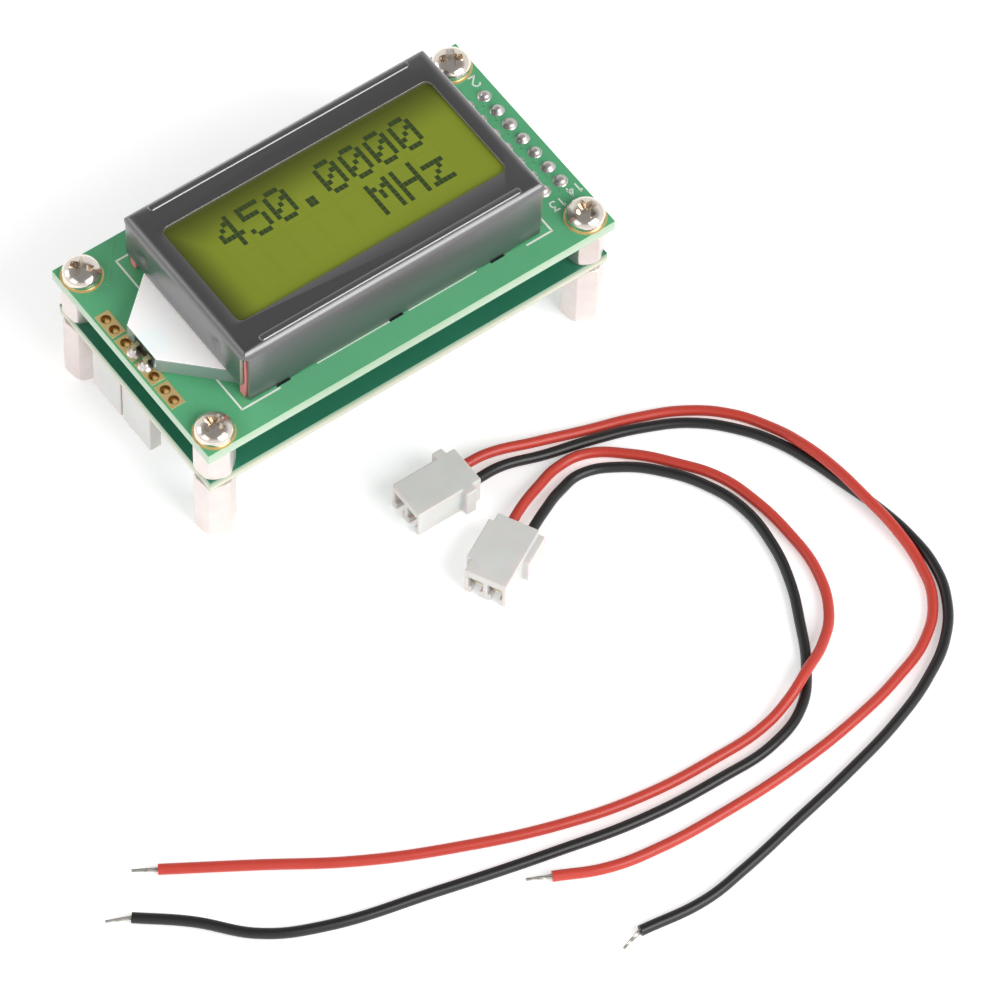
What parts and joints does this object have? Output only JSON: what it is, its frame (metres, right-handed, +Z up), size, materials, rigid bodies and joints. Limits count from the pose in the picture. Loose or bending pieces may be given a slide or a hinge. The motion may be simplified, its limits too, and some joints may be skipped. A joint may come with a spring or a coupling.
{
  "type": "frequency counter module",
  "caption": "Open-frame panel frequency counter: two stacked circuit boards, a character LCD in a black bezel, threaded feet and loose plug-in leads.",
  "frame": {"origin": "centre of the counter's footprint on the plane of its feet", "axes": "+Z up through the display, +X along the long side towards the pin header, +Y towards the back edge"},
  "size_m": [0.107, 0.1049, 0.0276],
  "materials": {
    "board_green": "satin solder mask",
    "board_green_dark": "satin solder mask",
    "nickel": "matte nickel plate",
    "screw_nickel": "bright nickel plate",
    "gold": "gold flash",
    "solder": "bright tin",
    "bezel_black": "satin black",
    "polariser": "satin film",
    "lcd_glass": "clear",
    "silicone_pink": "matte silicone",
    "guide_white": "satin acrylic",
    "film_white": "matt film",
    "frame_white": "moulded",
    "led_body": "clear resin",
    "epoxy_black": "matt epoxy",
    "header_black": "moulded",
    "nylon_white": "natural nylon",
    "chip_black": "moulded",
    "can_steel": "satin",
    "trimmer_blue": "moulded",
    "cap_aluminium": "satin",
    "chip_ceramic_tan": "satin",
    "button_grey": "moulded",
    "wire_red": "satin PVC",
    "wire_black": "satin PVC",
    "tinned_copper": "tinned strands",
    "contact_tin": "tinned brass"
  },
  "bodies": {
    "counter": {"display_board": "board_green", "main_board": "board_green_dark", "board_feet": "nickel", "board_spacers": "nickel", "board_screws": "screw_nickel", "screw_pads": "gold", "backlight_pads": "gold", "lcd_bezel": "bezel_black", "front_polariser": "polariser", "front_glass": "lcd_glass", "rear_glass": "lcd_glass", "rear_polariser": "polariser", "contact_strips": "silicone_pink", "light_guide": "guide_white", "diffuser_sheet": "film_white", "glass_carrier": "frame_white", "backlight_led": "led_body", "led_solder": "solder", "driver_blobs": "epoxy_black", "header_base": "header_black", "header_pins": "gold", "header_solder_top": "solder", "header_solder_bottom": "solder", "power_socket": "nylon_white", "power_socket_pins": "tinned_copper", "signal_socket": "nylon_white", "signal_socket_pins": "tinned_copper", "microcontroller": "chip_black", "microcontroller_legs": "tinned_copper", "prescaler": "chip_black", "prescaler_legs": "tinned_copper", "crystal_can": "can_steel", "trimmer_base": "trimmer_blue", "voltage_regulator": "chip_black", "filter_capacitors": "cap_aluminium", "protection_diode": "chip_black", "chip_resistors": "chip_black", "chip_capacitors": "chip_ceramic_tan", "switch_bases": "header_black", "switch_covers": "can_steel", "switch_legs": "tinned_copper"},
    "mode_button": {"mode_button": "button_grey"},
    "up_button": {"up_button": "button_grey"},
    "down_button": {"down_button": "button_grey"},
    "trimmer_rotor": {"trimmer_rotor": "nickel"},
    "power_lead": {"power_plug": "nylon_white", "power_plug_contacts": "contact_tin", "power_red_wire": "wire_red", "power_black_wire": "wire_black", "power_wire_tips": "tinned_copper"},
    "signal_lead": {"signal_plug": "nylon_white", "signal_plug_contacts": "contact_tin", "signal_red_wire": "wire_red", "signal_black_wire": "wire_black", "signal_wire_tips": "tinned_copper"}
  },
  "joints": [
    {"name": "mode_press", "type": "slide", "parent": "counter", "child": "mode_button", "axis": [0, 0, 1], "range_m": [0, 0.00025], "stiffness_N_per_m": 300},
    {"name": "up_press", "type": "slide", "parent": "counter", "child": "up_button", "axis": [0, 0, 1], "range_m": [0, 0.00025], "stiffness_N_per_m": 300},
    {"name": "down_press", "type": "slide", "parent": "counter", "child": "down_button", "axis": [0, 0, 1], "range_m": [0, 0.00025], "stiffness_N_per_m": 300},
    {"name": "trimmer_turn", "type": "hinge", "parent": "counter", "child": "trimmer_rotor", "pos_m": [-0.0015, -0.003, 0.0085], "axis": [0, 0, 1], "continuous": true},
    {"name": "power_lead_lift", "type": "slide", "parent": "counter", "child": "power_lead", "axis": [0, 0, 1], "range_m": [0, 0.03]},
    {"name": "signal_lead_lift", "type": "slide", "parent": "counter", "child": "signal_lead", "axis": [0, 0, 1], "range_m": [0, 0.03]}
  ]
}
